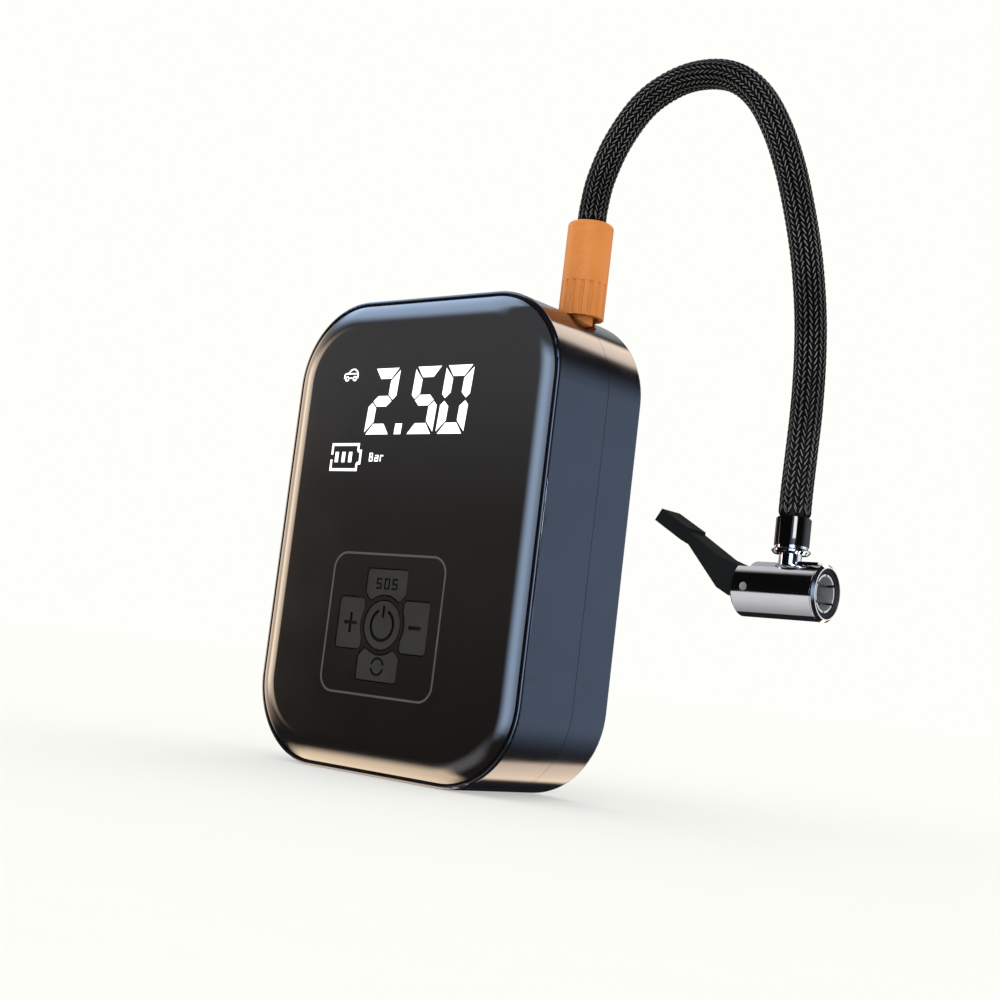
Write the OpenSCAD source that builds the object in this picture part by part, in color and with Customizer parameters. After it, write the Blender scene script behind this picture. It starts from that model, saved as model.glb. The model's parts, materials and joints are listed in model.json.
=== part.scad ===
// Portable tyre inflator: upright slab body, braided air hose and a clip-on chuck.
// Millimetres. Origin at the middle of the base, +Z up, the display faces -Y.

/* [Body] */
// overall width of the body
body_width = 95; // [75:1:120]
// overall height of the body
body_height = 130; // [110:1:160]
// overall depth, front crown included
body_depth = 40; // [34:1:48]
// radius of the four outline corners
corner_radius = 23.7; // [16:0.1:30]
// how far the front plate stands ahead of its rim
face_crown = 3; // [1.5:0.1:4.5]
// wall thickness of the two housings
shell_wall = 2.2; // [1.6:0.1:3]

/* [Front panel] */
// height of the display digits
digit_height = 18.4; // [14:0.5:23]
// radius of the round power key
power_radius = 6.45; // [5.2:0.05:7]
// width of the outlined key panel
panel_width = 41.4; // [38:0.2:50]
// height of the outlined key panel
panel_height = 38.2; // [36:0.2:46]
// gap round each key
key_gap = 0.3; // [0.25:0.05:0.4]
// travel of each key
key_travel = 0.6; // [0.3:0.1:0.8]

/* [Hose] */
// outside diameter of the braided hose
hose_diameter = 7.8; // [6.5:0.1:8.4]
// radius of the fluted collar at the outlet
collar_radius = 6.2; // [5.6:0.1:7.4]
// height of the fluted collar
collar_height = 26.1; // [21:0.1:32]

/* [Chuck] */
// radius of the chuck body
chuck_radius = 6.65; // [6.3:0.05:8]
// length of the chuck from end face to mouth
chuck_length = 22.5; // [21:0.1:28]
// width of the lever
lever_width = 8; // [6:0.1:8.4]

/* [Drive] */
// teeth on the crank gear
gear_teeth = 36; // [30:1:38]
// teeth on the motor pinion
pinion_teeth = 12; // [10:1:16]
// tooth module of the gear pair
gear_module = 0.7; // [0.6:0.05:0.75]
// radius of the piston
piston_radius = 7.95; // [6.5:0.05:8.5]
// throw of the crank, half the stroke
crank_throw = 6; // [4:0.5:6.5]

/* [Hidden] */
$fn = 96;
eps = 0.01;
half_w = body_width / 2;
mid_z = body_height / 2;
front_y = -body_depth / 2;
back_y = body_depth / 2;
rim_y = front_y + face_crown;
rim_edge = 0.9;
back_edge = 1.2;
seam_y = 4.5;
seam_gap = 0.16;
// front plate, its gasket and the shelf behind it
pocket_inset = 1.03;
plate_inset = 1.5;
plate_skin = 2;
plate_run = 7;
shelf_y = rim_y + 3.7;
shelf_back = shelf_y + 1.6;
window_inset = 5.5;
// keys
key_z = 39.75;
key_face_y = front_y + 0.15;
key_arc = power_radius + 1.65;
key_near = power_radius + 0.15;
key_tall = 8.2;
key_wide = 14.6;
key_side = 9.2;
mark_deep = 0.25;
flange_y = front_y + plate_skin + 0.3;
stem_back_y = flange_y + 1.8;
switch_y = stem_back_y + key_travel + 0.4;
board_y = shelf_y - 0.1;
// display
digit_z = body_height - 38.8;
digit_wide = digit_height * 0.532;
digit_stroke = digit_height * 0.16;
digit_lean = 0.072;
ink_deep = 0.3;
// air outlet and the collar on it
outlet_x = half_w - 13.3;
outlet_y = 6;
collar_z = body_height - 2.4;
collar_top = collar_z + collar_height;
nipple_r = 3.4;
// chuck, hanging from the far end of the hose
chuck_x = outlet_x + 70.2;
chuck_y = outlet_y;
chuck_z = 57.8;
chuck_back = chuck_x - chuck_length / 2;
chuck_front = chuck_x + chuck_length / 2;
pivot_x = chuck_back + 3.8;
slot_end = pivot_x + 3.9;
bore_x = slot_end + 1.5;
jaw_bore = 4.05;
jaw_outer = 4.5;
jaw_travel = 1.5;
neck_x = outlet_x + 70.8;
ring_z = chuck_z + chuck_radius + 2;
ferrule_z = ring_z + 2;
hose_end_z = ferrule_z + 6.8;
// drive train
drive_y = 3;
motor_z = 16;
motor_r = 12;
gear_r = gear_module * gear_teeth / 2;
pinion_r = gear_module * pinion_teeth / 2;
gear_z = motor_z + gear_r + pinion_r + 0.1;
chassis_x = outlet_x - 15.2;
chassis_t = 3.5;
gear_x = chassis_x + 4;
gear_t = 5;
arm_z = gear_z + gear_r + gear_module + 0.7;
cylinder_z = arm_z + 3;
cylinder_h = 21;
piston_top = cylinder_z + cylinder_h - 0.5;
head_z = cylinder_z + cylinder_h;
pin_z = gear_z + crank_throw;
// batteries and boards
cell_r = 9.1;
cell_z = 34;
cell_h = 65;
cell_x = -half_w + 14;
cell_pitch = 19;
lamp_x = -14;
lamp_y = -5;
screw_xz = [[-half_w + 11.5, 14], [half_w - 11.5, 14],
            [-half_w + 11.5, body_height - 14], [half_w - 31.5, body_height - 7.5]];
post_xz = [[-half_w + 14.5, 22], [half_w - 14.5, 22],
           [-half_w + 14.5, body_height - 22], [half_w - 14.5, body_height - 22]];

// hose centre line in its own upright plane: [along from the outlet axis, height]
rise = collar_top;
hose_route = [[0, rise], [0.2, rise + 5], [1.6, rise + 13], [6, rise + 23],
              [13.5, rise + 32], [23, rise + 36.6], [32.5, rise + 37.4],
              [41.5, rise + 35], [49, rise + 29], [55, rise + 20],
              [60, rise + 9], [64, rise - 3], [67.2, rise - 15], [69.6, rise - 28],
              [70.8, rise - 40], [71.2, rise - 52], [71, rise - 63], [70.8, rise - 72],
              [70.8, hose_end_z]];

// colours
shell_color = [0.17, 0.20, 0.26];
gloss_color = [0.03, 0.03, 0.035];
key_color = [0.22, 0.22, 0.23];
line_color = [0.33, 0.33, 0.33];
light_color = [0.96, 0.97, 1];
orange_color = [0.90, 0.50, 0.20];
chrome_color = [0.80, 0.81, 0.83];
black_color = [0.05, 0.05, 0.055];
brass_color = [0.78, 0.62, 0.32];
steel_color = [0.62, 0.63, 0.65];
board_color = [0.07, 0.28, 0.16];
alu_color = [0.72, 0.73, 0.75];

// ---- shared shapes ----

// quarter of a disc in the first quadrant
module quarter(r) {
    intersection() {
        circle(r);
        square(r + 1);
    }
}

// centred rounded rectangle
module rrect(w, h, r) {
    square([w - 2 * r, h], center = true);
    square([w, h - 2 * r], center = true);
    for (sx = [0, 1], sy = [0, 1])
        mirror([sx, 0]) mirror([0, sy])
            translate([w / 2 - r, h / 2 - r]) quarter(r);
}

// draws in x and z, solid from y0 to y1
module upright(y0, y1) {
    translate([0, y1, 0]) rotate([90, 0, 0]) linear_extrude(y1 - y0) children();
}

// draws in y and z, solid from x0 to x1
module sideways(x0, x1) {
    translate([x0, 0, 0]) rotate([90, 0, 90]) linear_extrude(x1 - x0) children();
}

// cylinder along y
module rod_y(x, z, r, y0, y1) {
    translate([x, y0, z]) rotate([-90, 0, 0]) cylinder(r = r, h = y1 - y0);
}

// cylinder along x
module rod_x(y, z, r, x0, x1) {
    translate([x0, y, z]) rotate([0, 90, 0]) cylinder(r = r, h = x1 - x0);
}

// body outline, stepped in by inset, from y0 to y1
module outline(inset, y0, y1) {
    upright(y0, y1) translate([0, mid_z])
        rrect(body_width - 2 * inset, body_height - 2 * inset, corner_radius - inset);
}

module outline_ring(inset_out, inset_in, y0, y1) {
    difference() {
        outline(inset_out, y0, y1);
        outline(inset_in, y0 - 1, y1 + 1);
    }
}

// half section of a slab whose outer edge rolls off over run and drop
module rim_section(r, t, run, drop) {
    rho = (run * run + drop * drop) / (2 * drop);
    low = run > drop ? 0.2 : 0;
    square([r, t - drop - low / 2]);
    square([r - run, t]);
    intersection() {
        translate([r - run, t - rho]) circle(rho);
        translate([r - run, t - drop - low]) square([run > drop ? run : run + 1, drop + 1]);
    }
}

// slab on z = 0 with a rolled upper edge all round
module rolled_slab(w, h, r, t, run, drop) {
    a = w / 2 - r;
    b = h / 2 - r;
    translate([-a, -b, 0]) cube([2 * a, 2 * b, t]);
    for (s = [0, 1]) {
        mirror([s, 0, 0]) translate([a, b, 0]) rotate([90, 0, 0])
            linear_extrude(2 * b) rim_section(r, t, run, drop);
        mirror([0, s, 0]) translate([-a, b, 0]) rotate([90, 0, 90])
            linear_extrude(2 * a) rim_section(r, t, run, drop);
    }
    for (sx = [0, 1], sy = [0, 1])
        mirror([sx, 0, 0]) mirror([0, sy, 0]) translate([a, b, 0])
            rotate_extrude(angle = 90) rim_section(r, t, run, drop);
}

// hollow ring on a z axis
module tube_z(x, y, z, r_out, r_in, h) {
    translate([x, y, z]) difference() {
        cylinder(r = r_out, h = h);
        translate([0, 0, -1]) cylinder(r = r_in, h = h + 2);
    }
}

// line of width w between two points, square ends
module stroke(p, q, w) {
    d = q - p;
    translate(p) rotate(atan2(d.y, d.x)) translate([0, -w / 2]) square([norm(d), w]);
}

// ---- housings ----

module outlet_block(y0, y1) {
    intersection() {
        translate([outlet_x, outlet_y, collar_z - 10]) cylinder(r = 9.5, h = 14);
        outline(0.5, y0, y1);
    }
}

module outlet_cuts() {
    translate([outlet_x, outlet_y, collar_z - 0.35])
        cylinder(r = collar_radius + 0.35, h = 12);
    translate([outlet_x, outlet_y, collar_z - 20]) cylinder(r = nipple_r + 0.03, h = 30);
}

module main_housing() color(shell_color) difference() {
    end = seam_y - seam_gap / 2;
    union() {
        difference() {
            translate([0, end, mid_z]) rotate([90, 0, 0])
                rolled_slab(body_width, body_height, corner_radius,
                            end - rim_y, rim_edge, rim_edge);
            outline(pocket_inset, rim_y - 1, shelf_y);
            outline(window_inset, shelf_y - 1, shelf_back + 1);
            outline(shell_wall, shelf_back, seam_y + 1);
        }
        for (p = screw_xz) rod_y(p.x, p.y, 3.5, shelf_back - 1, end);
        outlet_block(shelf_back - 1, end);
    }
    outline_ring(1.1, shell_wall + 0.1, seam_y - 1.8, seam_y + 1);
    for (p = screw_xz) rod_y(p.x, p.y, 1.2, -4, seam_y + 1);
    outlet_cuts();
    // lamp seat in the top
    translate([lamp_x, lamp_y, body_height - 1.6]) cylinder(r = 7.3, h = 3);
    translate([lamp_x, lamp_y, body_height - 6]) cylinder(r = 6, h = 8);
    // socket opening in the left wall
    sideways(-half_w - 1, -half_w + 4) translate([-4, 26]) rrect(3.5, 9.3, 1.7);
}

module rear_cover() color(shell_color) difference() {
    start = seam_y + seam_gap / 2;
    union() {
        difference() {
            translate([0, start, mid_z]) rotate([-90, 0, 0])
                rolled_slab(body_width, body_height, corner_radius,
                            back_y - start, back_edge, back_edge);
            outline(shell_wall, start - 1, back_y - shell_wall);
        }
        outline_ring(1.2, shell_wall, seam_y - 1.6, start + 0.5);
        for (p = screw_xz) rod_y(p.x, p.y, 3.5, start, back_y - 1);
        outlet_block(start, back_y - 1);
    }
    for (p = screw_xz) {
        rod_y(p.x, p.y, 1.2, start - 3, back_y);
        rod_y(p.x, p.y, 2.8, back_y - 4, back_y + 1);
    }
    outlet_cuts();
    // cooling slots behind the cylinder
    for (i = [0 : 4])
        upright(back_y - 4, back_y + 1)
            translate([outlet_x - 9, cylinder_z + 2 + 4 * i]) rrect(24, 1.8, 0.6);
}

module rear_screws() for (p = screw_xz) difference() {
    union() {
        rod_y(p.x, p.y, 1.2, -3, back_y - 4);
        rod_y(p.x, p.y, 2.5, back_y - 4, back_y - 1.8);
    }
    rod_y_hex(p.x, p.y, 1.2, back_y - 3.2, back_y);
}

// hexagon socket along y
module rod_y_hex(x, z, r, y0, y1) {
    translate([x, y0, z]) rotate([-90, 0, 0]) cylinder(r = r, h = y1 - y0, $fn = 6);
}

// ---- front plate and display ----

module front_gasket() color(black_color)
    outline_ring(pocket_inset, plate_inset, rim_y + 0.8, shelf_y);

module front_plate() color(gloss_color) difference() {
    union() {
        difference() {
            translate([0, shelf_y, mid_z]) rotate([90, 0, 0])
                rolled_slab(body_width - 2 * plate_inset, body_height - 2 * plate_inset,
                            corner_radius - plate_inset, shelf_y - front_y,
                            plate_run, face_crown);
            outline(window_inset, front_y + plate_skin, shelf_y + 1);
        }
        for (p = post_xz) rod_y(p.x, p.y, 2.6, front_y + plate_skin - 0.5, board_y);
    }
    upright(front_y - 1, front_y + plate_skin + 1) {
        circle_at(power_radius + key_gap);
        for (i = [0 : 3]) key_shape(i, key_gap);
    }
    upright(front_y - 1, front_y + ink_deep) {
        digits_flat();
        car_flat();
        battery_flat();
        unit_flat();
        outline_flat();
    }
    for (p = post_xz) rod_y(p.x, p.y, 1, front_y + plate_skin + 0.5, shelf_y + 1);
}

// one bar of a digit: 0 top, 1 upper right, 2 lower right, 3 foot,
// 4 lower left, 5 upper left, 6 middle
function bar_points(k, w, h, t, g) =
    k == 0 ? [[g, h], [w - g, h], [w - t, h - t], [t, h - t]] :
    k == 3 ? [for (p = bar_points(0, w, h, t, g)) [p.x, h - p.y]] :
    k == 1 ? [[w, h - g], [w, h / 2 + t * 0.5], [w - t * 0.42, h / 2 + t * 0.12],
              [w - t, h / 2 + t * 0.62], [w - t, h - t - g]] :
    k == 2 ? [for (p = bar_points(1, w, h, t, g)) [p.x, h - p.y]] :
    k == 5 ? [for (p = bar_points(1, w, h, t, g)) [w - p.x, p.y]] :
    k == 4 ? [for (p = bar_points(1, w, h, t, g)) [w - p.x, h - p.y]] :
             [[t * 0.5, h / 2], [t * 1.06, h / 2 + t / 2], [w - t * 1.06, h / 2 + t / 2],
              [w - t * 0.5, h / 2], [w - t * 1.06, h / 2 - t / 2], [t * 1.06, h / 2 - t / 2]];

module bar(k, w, h, t, g)
    polygon([for (p = bar_points(k, w, h, t, g)) [p.x + digit_lean * p.y, p.y]]);

module digit(x, bars)
    translate([x, digit_z])
        for (k = bars) bar(k, digit_wide, digit_height, digit_stroke, 0.6);

module digits_flat() {
    pitch = digit_wide + 1.2;
    right = 20.4 - digit_wide;
    digit(right - pitch - digit_wide - 5.8, [0, 1, 6, 4, 3]);
    digit(right - pitch, [0, 5, 6, 2, 3]);
    digit(right, [0, 1, 2, 3, 4, 5]);
    dot_x = right - pitch - 4.2;
    translate([dot_x, digit_z])
        polygon([[0, 0], [2.5, 0], [2.5 + 0.2, digit_stroke], [0.2, digit_stroke]]);
}

module display_digits() color(light_color)
    upright(front_y, front_y + ink_deep) digits_flat();

// small car seen from its side
module car_flat() translate([-23.8, digit_z + 17]) scale([0.94, 0.84]) {
    difference() {
        polygon([[-3, -1.3], [-3, 0.1], [-2.4, 0.6], [-1.3, 0.8], [-0.5, 1.7], [0.5, 2.1],
                 [1.6, 2], [2.5, 1.3], [3, 0.3], [3, -1.3]]);
        polygon([[-2.5, -0.9], [-2.5, -0.1], [-2.2, 0.15], [2.5, 0.15], [2.5, -0.9]]);
        polygon([[-0.8, 0.6], [-0.2, 1.3], [0.6, 1.62], [1.4, 1.55], [2.1, 1], [2.3, 0.6]]);
        for (x = [-1.6, 1.6]) translate([x, -1.3]) circle(1.15, $fn = 32);
    }
    for (x = [-1.6, 1.6]) translate([x, -1.3]) difference() {
        circle(0.9, $fn = 32);
        circle(0.4, $fn = 32);
    }
}

// battery frame, open on the left, with three charge bars
module battery_flat() translate([-22.3, digit_z - 6.3]) {
    w = 0.75;
    difference() {
        square([10.8, 7.8], center = true);
        square([10.8 - 2 * w, 7.8 - 2 * w], center = true);
        translate([-5.4, 0]) square([2, 1.4], center = true);
        translate([5.4, 0]) square([2, 3.4], center = true);
    }
    stroke([4.95, 1.7], [6.3, 1.7], w);
    stroke([4.95, -1.7], [6.3, -1.7], w);
    stroke([6.1, -2.07], [6.1, 2.07], w);
    for (i = [0 : 2]) translate([-3.1 + 2.65 * i, 0]) square([1.3, 2.9], center = true);
}

// the unit, in plain strokes
module unit_flat() translate([-12.7, digit_z - 7.5]) {
    w = 0.36;
    t = 2.4;
    stroke([0.18, 0], [0.18, t], w);
    stroke([0, w / 2], [1.25, w / 2], w);
    stroke([0, t - w / 2], [1.15, t - w / 2], w);
    stroke([0, t / 2], [1.25, t / 2], w);
    stroke([1.25, 0.1], [1.25, t / 2 + 0.1], w);
    stroke([1.15, t / 2], [1.15, t - 0.1], w);
    stroke([2.1, w / 2], [3.5, w / 2], w);
    stroke([2.1, 0.95], [3.5, 0.95], w);
    stroke([2.2, 1.62], [3.5, 1.62], w);
    stroke([2.2, 0], [2.2, 1.1], w);
    stroke([3.35, 0], [3.35, 1.8], w);
    stroke([4.3, 0], [4.3, 1.8], w);
    stroke([4.2, 1.62], [5.3, 1.62], w);
}

module display_icons() color(light_color) upright(front_y, front_y + ink_deep) {
    car_flat();
    battery_flat();
    unit_flat();
}

module outline_flat() translate([0, key_z]) difference() {
    rrect(panel_width, panel_height, 4.8);
    rrect(panel_width - 1.2, panel_height - 1.2, 4.2);
}

module panel_outline() color(line_color)
    upright(front_y, front_y + ink_deep) outline_flat();

module display_module() color(gloss_color) {
    y0 = front_y + plate_skin + 0.1;
    upright(y0, y0 + 1.2) translate([-2, digit_z + 5]) rrect(55, 36, 2);
    upright(y0 + 1.2, board_y) translate([-2, digit_z + 5]) rrect(52, 33, 1.5);
}

module front_board() color(board_color) difference() {
    outline(window_inset + 2, board_y, board_y + 1.2);
    for (p = post_xz) rod_y(p.x, p.y, 1.3, board_y - 1, board_y + 2);
    for (p = screw_xz) rod_y(p.x, p.y, 3.9, board_y - 1, board_y + 2);
}

module board_screws() for (p = post_xz) {
    rod_y(p.x, p.y, 1, front_y + plate_skin + 1, board_y + 1.2);
    rod_y(p.x, p.y, 2, board_y + 1.2, board_y + 2.2);
}

module key_switches() color(steel_color) {
    for (c = key_centres())
        translate([c.x - 2.2, switch_y, key_z + c.y - 2.2])
            cube([4.4, board_y - switch_y, 4.4]);
}

// ---- keys ----

// middles of the outer keys, right, up, left, down, then the power key
function key_centres() = [
    [key_near + 0.6 + key_side / 2, 0], [0, key_near + key_tall / 2],
    [-key_near - 0.6 - key_side / 2, 0], [0, -key_near - key_tall / 2], [0, 0]];

module circle_at(r) translate([0, key_z]) circle(r);

// outer key i, grown by g on every side
module key_shape(i, g) {
    c = key_centres()[i];
    size = i % 2 == 0 ? [key_side, 13.6] : [key_wide, key_tall];
    apart = (0.8 - g) * sqrt(2);
    translate([0, key_z]) difference() {
        intersection() {
            translate(c) rrect(size.x + 2 * g, size.y + 2 * g, 0.9 + g);
            rotate(90 * i) polygon([[apart, 0], [apart + 40, 40], [apart + 40, -40]]);
        }
        circle(key_arc - g);
    }
}

// cap with a flange behind the plate and a stem to its switch
module key_solid(i) {
    c = key_centres()[i];
    difference() {
        upright(key_face_y, flange_y + 0.1) key_any(i, 0);
        upright(key_face_y - 1, key_face_y + mark_deep) mark_flat(i);
    }
    upright(flange_y, flange_y + 0.7) key_any(i, 2 * key_gap);
    rod_y(c.x, key_z + c.y, 1.5, flange_y + 0.6, stem_back_y);
}

module key_any(i, g) {
    if (i < 4) key_shape(i, g);
    else circle_at(power_radius + g);
}

// ring of outer radius r, cut open over half-angle a about each direction in dirs
module open_ring(r, w, a, dirs) difference() {
    circle(r);
    circle(r - w);
    for (d = dirs) rotate(d)
        polygon([[0, 0], [2 * r, 2 * r * tan(a)], [2 * r, -2 * r * tan(a)]]);
}

module letter_s(w) {
    stroke([0, w / 2], [2, w / 2], w);
    stroke([0, 1.5], [2, 1.5], w);
    stroke([0, 3 - w / 2], [2, 3 - w / 2], w);
    stroke([w / 2, 1.3], [w / 2, 3], w);
    stroke([2 - w / 2, 0], [2 - w / 2, 1.7], w);
}

module mark_flat(i) {
    c = key_centres()[i];
    translate([c.x, key_z + c.y]) {
        if (i == 0) square([4.4, 1], center = true);
        if (i == 2) {
            square([4.8, 0.9], center = true);
            square([0.9, 5.4], center = true);
        }
        if (i == 1) translate([-3.9, -1.2]) {
            letter_s(0.5);
            translate([2.9, 0]) difference() {
                square([2, 3]);
                translate([0.5, 0.5]) square([1, 2]);
            }
            translate([5.8, 0]) letter_s(0.5);
        }
        if (i == 3) translate([0, -0.3]) open_ring(2.5, 0.62, 12, [0, 180]);
        if (i == 4) {
            open_ring(4.5, 0.9, 24, [90]);
            translate([0, 3.6]) square([0.8, 3.2], center = true);
        }
    }
}

module key_minus() color(key_color) key_solid(0);
module key_sos() color(key_color) key_solid(1);
module key_plus() color(key_color) key_solid(2);
module key_mode() color(key_color) key_solid(3);
module key_power() color(key_color) key_solid(4);

// ---- lamp and socket ----

module lamp_lens() color([0.92, 0.94, 0.96]) {
    translate([lamp_x, lamp_y, body_height - 1.6]) cylinder(r = 7.2, h = 1.4);
    translate([lamp_x, lamp_y, body_height - 2.6]) cylinder(r = 5.9, h = 1.1);
}

module lamp_reflector() color(chrome_color) translate([lamp_x, lamp_y, body_height - 9])
    rotate_extrude() polygon([[2.6, 0], [3.4, 0], [5.9, 6.3], [5.4, 6.3]]);

module lamp_led() color([0.95, 0.85, 0.4]) {
    translate([lamp_x - 5, lamp_y - 5, body_height - 10.2]) cube([10, 10, 1.2]);
    translate([lamp_x - 1.7, lamp_y - 1.7, body_height - 9]) cube([3.4, 3.4, 1]);
}

module usb_socket() color(steel_color) difference() {
    sideways(-half_w + 0.4, -half_w + 7.6) translate([-4, 26]) rrect(3.3, 9, 1.6);
    sideways(-half_w - 1, -half_w + 6.6) translate([-4, 26]) rrect(2.6, 8.3, 1.28);
}

module usb_board() color(board_color) {
    translate([-half_w + 3, -2.3, 19]) cube([12.3, 1.2, 11.6]);
    translate([-half_w + 1.5, -4.4, 22.6]) cube([4, 0.8, 6.8]);
}

// ---- power and control ----

module battery_cells() color([0.16, 0.36, 0.62]) for (i = [0, 1])
    translate([cell_x + cell_pitch * i, 2.5, cell_z]) {
        cylinder(r = cell_r, h = cell_h - 1);
        translate([0, 0, cell_h - 1.1]) cylinder(r = 3, h = 1.1);
    }

module battery_holder() color(black_color) {
    x0 = cell_x - 9.6;
    for (z = [cell_z - 3, cell_z + cell_h + 0.2])
        translate([x0, -7, z]) cube([cell_pitch + 19.2, 19, 2.8]);
    translate([x0, 11.9, cell_z - 3]) cube([cell_pitch + 19.2, 1.4, cell_h + 6]);
    translate([cell_x + cell_pitch / 2 - 0.25, 9, cell_z - 0.5])
        cube([0.5, 3, cell_h + 1]);
}

module battery_tabs() color(steel_color) {
    translate([cell_x - 4, -0.5, cell_z - 0.2]) cube([cell_pitch + 8, 6, 0.2]);
    translate([cell_x - 4, -0.5, cell_z + cell_h]) cube([cell_pitch + 8, 6, 0.2]);
}

module control_board() color(board_color)
    translate([cell_x - 8, 14.6, cell_z + 2]) cube([56, 1.4, 62]);

module board_parts() color(black_color) {
    bx = cell_x + cell_pitch + 11;
    for (i = [0, 1]) rod_y(bx + 5.5, cell_z + 14 + 16 * i, 4, 5.5, 14.6);
    translate([bx, 10.2, cell_z + 38]) cube([11, 4.4, 11]);
    for (i = [0 : 2]) translate([bx + 4.6 * i, 12.4, cell_z + 53]) cube([3.6, 2.2, 5]);
    translate([bx, 9.6, cell_z + 3]) cube([10, 5, 5]);
}

// ---- pump ----

module chassis() color(steel_color) difference() {
    union() {
        translate([chassis_x, drive_y - 11, 3.4])
            cube([chassis_t, 22, cylinder_z - 3.4]);
        translate([chassis_x, drive_y - 11, arm_z]) cube([25.4, 22, 3]);
    }
    rod_x(drive_y, gear_z, 4, chassis_x - 1, chassis_x + chassis_t + 1);
    rod_x(drive_y, motor_z, 3.5, chassis_x - 1, chassis_x + chassis_t + 1);
    translate([outlet_x, drive_y, arm_z - 1]) cylinder(r = piston_radius + 0.7, h = 5);
}

module crank_bearing() color(brass_color) difference() {
    rod_x(drive_y, gear_z, 4, chassis_x, chassis_x + chassis_t);
    rod_x(drive_y, gear_z, 2.05, chassis_x - 1, chassis_x + chassis_t + 1);
}

module motor_can() color(alu_color) difference() {
    union() {
        rod_x(drive_y, motor_z, motor_r, chassis_x - 30, chassis_x);
        rod_x(drive_y, motor_z, 3.4, chassis_x - 1, chassis_x + 2);
    }
    rod_x(drive_y, motor_z, 1.25, chassis_x - 29, chassis_x + 3);
    rod_x(drive_y, motor_z, motor_r - 1, chassis_x - 28.6, chassis_x - 1.2);
}

module motor_endcap() color(black_color)
    rod_x(drive_y, motor_z, motor_r - 1.2, chassis_x - 33, chassis_x - 30);

module motor_terminals() color(brass_color) for (s = [-1, 1])
    translate([chassis_x - 37, drive_y + 6 * s - 1, motor_z - 0.3]) cube([4, 2, 0.6]);

module rotor_shaft() color(steel_color) {
    rod_x(drive_y, motor_z, 1.2, chassis_x - 28.8, gear_x + gear_t + 0.6);
    rod_x(drive_y, motor_z, motor_r - 2, chassis_x - 25, chassis_x - 5);
}

// angle by which an involute of base radius rb has turned at radius r
function involute_turn(r, rb) = let (a = acos(min(1, rb / r))) tan(a) * 180 / PI - a;

// half the angle a tooth fills at radius r
function tooth_half(r, rp, rb, half) =
    half + involute_turn(rp, rb) - involute_turn(max(r, rb), rb);

// outline of a spur gear, teeth thinned for backlash
module gear_flat(n, m, thin) {
    rp = m * n / 2;
    rb = rp * cos(20);
    ra = rp + 0.9 * m;
    rf = rp - 1.2 * m;
    half = 90 / n - thin / rp * 180 / PI;
    steps = [for (k = [0 : 4]) max(rf, rb) + (ra - max(rf, rb)) * k / 4];
    side = concat([rf], steps);
    polygon([for (i = [0 : n - 1]) each concat(
        [for (r = side) let (a = 360 / n * i - tooth_half(r, rp, rb, half))
            [r * cos(a), r * sin(a)]],
        [for (k = [5 : -1 : 0]) let (r = side[k],
            a = 360 / n * i + tooth_half(r, rp, rb, half))
            [r * cos(a), r * sin(a)]])]);
}

module pinion() color(brass_color) difference() {
    sideways(gear_x, gear_x + gear_t) translate([drive_y, motor_z])
        rotate(90 + 180 / pinion_teeth) gear_flat(pinion_teeth, gear_module, 0.06);
    rod_x(drive_y, motor_z, 1.2, gear_x - 1, gear_x + gear_t + 1);
}

module crank_gear() color(steel_color) difference() {
    sideways(gear_x, gear_x + gear_t) translate([drive_y, gear_z])
        rotate(-90) gear_flat(gear_teeth, gear_module, 0.06);
    rod_x(drive_y, gear_z, 2, gear_x - 1, gear_x + gear_t + 1);
    rod_x(drive_y, pin_z, 1.6, gear_x + 1.5, gear_x + gear_t + 1);
    for (a = [60 : 60 : 300])
        rod_x(drive_y + 7.5 * sin(a), gear_z + 7.5 * cos(a), 2,
              gear_x - 1, gear_x + gear_t + 1);
}

module crank_axle() {
    rod_x(drive_y, gear_z, 2, chassis_x - 1.4, gear_x + gear_t);
    rod_x(drive_y, gear_z, 2.9, chassis_x - 1.4, chassis_x - 0.35);
}

// ends short of the rod's eye
module crank_pin() rod_x(drive_y, pin_z, 1.6, gear_x + 1.5, outlet_x - 2);

module crank_pins() color(steel_color) {
    crank_axle();
    crank_pin();
}

module piston() color(alu_color) difference() {
    translate([outlet_x, drive_y, piston_top - 8]) cylinder(r = piston_radius - 0.1, h = 8);
    translate([outlet_x, drive_y, piston_top - 2.6]) tube_z(0, 0, 0, piston_radius + 1,
        piston_radius - 1.2, 1.4);
    translate([outlet_x, drive_y, piston_top - 9]) cylinder(r = piston_radius - 2, h = 5);
}

module piston_seal() color(black_color)
    tube_z(outlet_x, drive_y, piston_top - 2.6, piston_radius, piston_radius - 1.2, 1.4);

module connecting_rod() color(alu_color) difference() {
    union() {
        rod_x(drive_y, pin_z, 3.2, outlet_x - 1.6, outlet_x + 1.6);
        translate([outlet_x - 1.6, drive_y - 1.8, pin_z + 1])
            cube([3.2, 3.6, piston_top - 4 - pin_z - 1]);
    }
    rod_x(drive_y, pin_z, 1.65, outlet_x - 3, outlet_x + 3);
}

module pump_cylinder() color(alu_color) difference() {
    union() {
        translate([outlet_x, drive_y, cylinder_z]) cylinder(r = 9.6, h = cylinder_h);
        translate([outlet_x - 10.4, drive_y - 10.5, cylinder_z]) cube([20.8, 21, 2.4]);
        for (i = [0 : 4])
            translate([outlet_x, drive_y, cylinder_z + 5 + 3 * i])
                cylinder(r = 10.6, h = 1.3);
    }
    translate([outlet_x, drive_y, cylinder_z - 1])
        cylinder(r = piston_radius + 0.08, h = cylinder_h + 2);
}

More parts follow.
